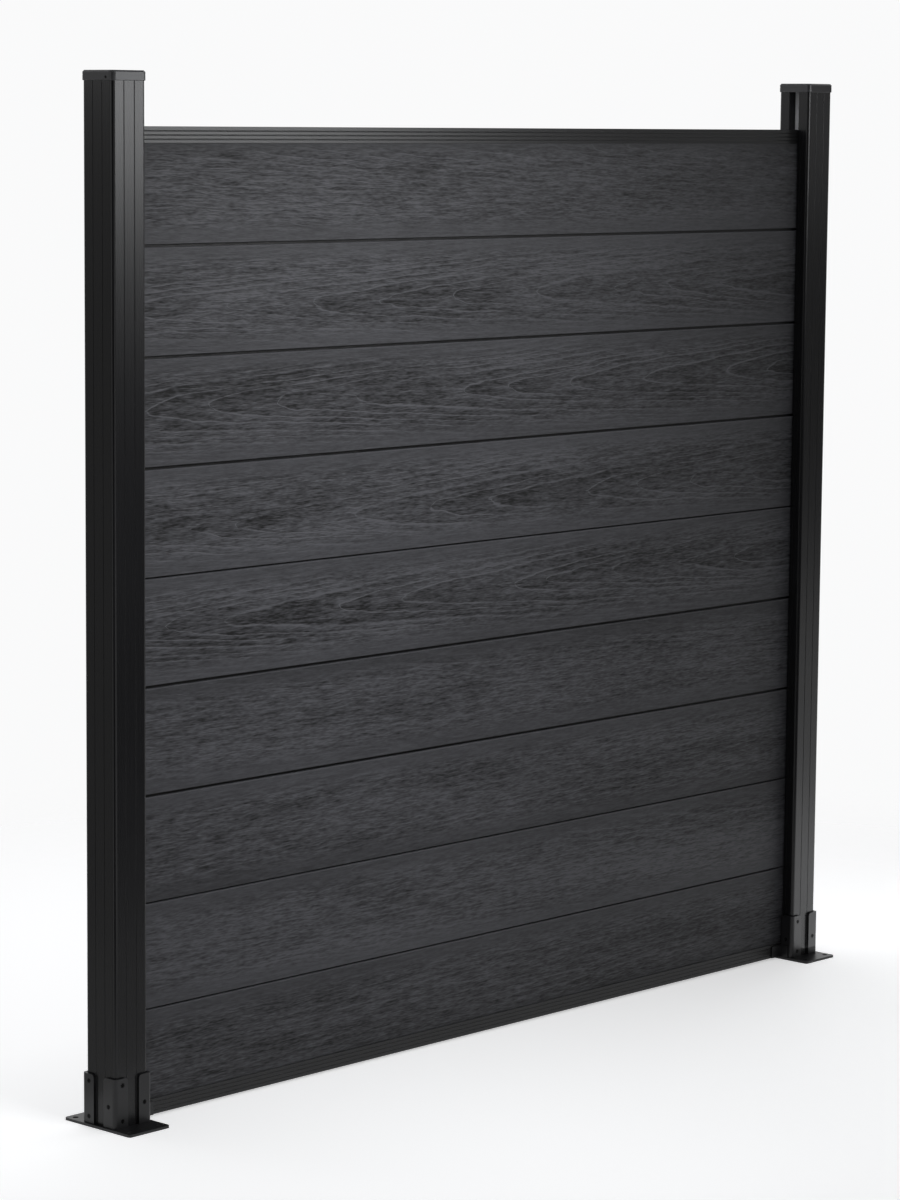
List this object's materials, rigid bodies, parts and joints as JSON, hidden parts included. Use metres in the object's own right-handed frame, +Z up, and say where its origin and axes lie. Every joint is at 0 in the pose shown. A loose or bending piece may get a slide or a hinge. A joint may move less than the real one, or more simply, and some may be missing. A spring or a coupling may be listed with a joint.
{
  "type": "composite fence panel",
  "caption": "Free-standing composite fence bay: tongue-and-groove wood-grain boards between slotted aluminium posts, with grooved rails, caps and bolt-down steel bases.",
  "frame": {"origin": "on the floor, under the middle of the panel, midway between the two posts", "axes": "+X along the panel to the right seen from the front, +Y to the back, +Z up"},
  "size_m": [2.1, 0.18, 1.9205],
  "materials": {
    "composite_board": "charcoal wood-plastic composite, matt, with embossed wood grain",
    "black_aluminium": "extruded aluminium, black powder coat, satin",
    "cap_coating": "black powder coat, satin",
    "black_steel": "welded steel, black powder coat, satin",
    "dark_screws": "black-coated steel"
  },
  "bodies": {
    "root": {"board_1": "composite_board", "board_2": "composite_board", "board_3": "composite_board", "board_4": "composite_board", "board_5": "composite_board", "board_6": "composite_board", "board_7": "composite_board", "board_8": "composite_board", "board_9": "composite_board", "top_rail": "black_aluminium", "bottom_rail": "black_aluminium", "left_post": "black_aluminium", "left_front_strip": "black_aluminium", "left_outer_strip": "black_aluminium", "left_back_strip": "black_aluminium", "left_post_cap": "cap_coating", "left_base_plate": "black_steel", "left_front_outer_angle": "black_steel", "left_front_inner_angle": "black_steel", "left_back_outer_angle": "black_steel", "left_back_inner_angle": "black_steel", "left_front_rail_clip": "black_steel", "left_back_rail_clip": "black_steel", "left_base_screws": "dark_screws", "left_cap_screw": "dark_screws", "right_post": "black_aluminium", "right_front_strip": "black_aluminium", "right_outer_strip": "black_aluminium", "right_back_strip": "black_aluminium", "right_post_cap": "cap_coating", "right_base_plate": "black_steel", "right_front_outer_angle": "black_steel", "right_front_inner_angle": "black_steel", "right_back_outer_angle": "black_steel", "right_back_inner_angle": "black_steel", "right_front_rail_clip": "black_steel", "right_back_rail_clip": "black_steel", "right_base_screws": "dark_screws", "right_cap_screw": "dark_screws"}
  },
  "joints": []
}
